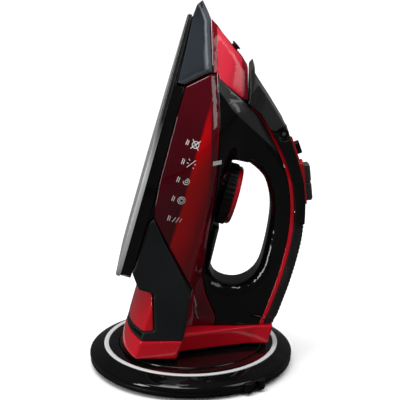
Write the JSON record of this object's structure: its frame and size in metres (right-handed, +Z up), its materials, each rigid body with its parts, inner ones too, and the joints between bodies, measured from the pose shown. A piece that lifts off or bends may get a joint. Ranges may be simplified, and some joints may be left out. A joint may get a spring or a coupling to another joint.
{
  "type": "cordless steam iron with charging base",
  "caption": "Cordless steam iron standing nose up on its heel on a round swivelling charging base, with water tank, dial, steam slider, buttons and filler lid.",
  "frame": {"origin": "centre of the round base at floor level, on the axis of its drain hole and of the swivel", "axes": "+Z up; +X towards the handle side of the standing iron, so its soleplate faces -X; +Y across the iron"},
  "size_m": [0.1845, 0.17, 0.3021],
  "materials": {
    "black_gloss": "polished injection-moulded black plastic",
    "black_satin": "fine satin black plastic",
    "soft_touch": "dark grey soft-touch overmould",
    "grip_rubber": "textured black grip",
    "red_gloss": "polished red plastic",
    "tank_red": "transparent deep red polycarbonate",
    "slate_gloss": "polished slate grey plastic",
    "charcoal": "fine-grained charcoal plastic",
    "sole_ceramic": "bright ceramic-coated aluminium",
    "cast_aluminium": "as-cast aluminium",
    "silver_trim": "satin silver plated ring",
    "steel": "plain steel",
    "brass": "bare brass contacts",
    "ivory_plastic": "natural engineering plastic",
    "foot_rubber": "soft black rubber",
    "silicone_red": "red silicone",
    "wire_sleeve": "insulated wire",
    "clear_lens": "clear frosted lens"
  },
  "bodies": {
    "base": {"base_bottom_shell": "black_satin", "base_top_cover": "black_gloss", "base_ring": "silver_trim", "base_feet": "foot_rubber", "base_screws": "steel", "hub_spindle": "ivory_plastic", "slip_contacts": "brass", "terminal_block": "ivory_plastic", "base_wiring": "wire_sleeve", "cord_outlet": "black_satin", "turntable_clip": "steel"},
    "turntable": {"turntable": "black_gloss", "dock_blades": "brass"},
    "dial": {"dial_knob": "black_satin", "dial_face": "red_gloss", "dial_shaft": "steel"},
    "steam_slider": {"steam_slider": "black_satin"},
    "valve_needle": {"valve_needle": "steel"},
    "spray_button": {"spray_button": "soft_touch"},
    "steam_button": {"steam_button": "soft_touch"},
    "fill_lid": {"fill_lid": "soft_touch", "lid_bush": "ivory_plastic"},
    "iron": {"sole_plate": "sole_ceramic", "steam_chamber": "cast_aluminium", "heating_element": "steel", "chamber_gasket": "silicone_red", "chamber_cover": "cast_aluminium", "thermostat": "ivory_plastic", "thermal_fuse": "ivory_plastic", "heat_shield": "black_gloss", "water_tank": "tank_red", "nose_cover": "slate_gloss", "front_panel": "red_gloss", "rear_skirt": "charcoal", "heel_window": "red_gloss", "heel_cap": "red_gloss", "heel_socket": "black_satin", "heel_sleeves": "brass", "iron_wiring": "wire_sleeve", "handle_left": "black_gloss", "handle_right": "black_gloss", "stripe_left": "red_gloss", "stripe_right": "red_gloss", "grip_pad": "grip_rubber", "control_bezel": "black_satin", "button_frame": "red_gloss", "slider_frame": "red_gloss", "pilot_lens": "clear_lens", "spray_nozzle": "black_satin", "spray_pump": "ivory_plastic", "steam_pump": "ivory_plastic", "pump_tubes": "ivory_plastic", "drip_valve": "brass", "fill_funnel": "black_satin", "lid_pin": "steel", "dial_bush": "ivory_plastic", "handle_screws": "steel", "spray_spring": "steel", "steam_spring": "steel"}
  },
  "joints": [
    {"name": "dock_swivel", "type": "hinge", "parent": "base", "child": "turntable", "pos_m": [0, 0, 0], "axis": [0, 0, 1], "continuous": true},
    {"name": "dock_lift", "type": "slide", "parent": "turntable", "child": "iron", "axis": [0, 0, 1], "range_m": [0, 0.15]},
    {"name": "dial_turn", "type": "hinge", "parent": "iron", "child": "dial", "pos_m": [0.0247, 0, 0.14724], "axis": [0.9613, 0, -0.2756], "range_deg": [0, 270]},
    {"name": "steam_slide", "type": "slide", "parent": "iron", "child": "steam_slider", "axis": [-0.342, 0, 0.9397], "range_m": [0, 0.005]},
    {"name": "needle_lift", "type": "slide", "parent": "iron", "child": "valve_needle", "axis": [0.9613, 0, -0.2756], "range_m": [0, 0.003]},
    {"name": "spray_press", "type": "slide", "parent": "iron", "child": "spray_button", "axis": [-0.9945, 0, -0.1045], "range_m": [0, 0.0035], "stiffness_N_per_m": 500, "springref_m": -0.002, "deforming": ["spray_spring"]},
    {"name": "burst_press", "type": "slide", "parent": "iron", "child": "steam_button", "axis": [-0.9945, 0, -0.1045], "range_m": [0, 0.0035], "stiffness_N_per_m": 500, "springref_m": -0.002, "deforming": ["steam_spring"]},
    {"name": "lid_swing", "type": "hinge", "parent": "iron", "child": "fill_lid", "pos_m": [0.07461, 0, 0.19794], "axis": [0, 1, 0], "range_deg": [0, 75]}
  ],
  "couplings": [
    {"joint": "needle_lift", "follows": "steam_slide", "ratio": 0.6}
  ]
}
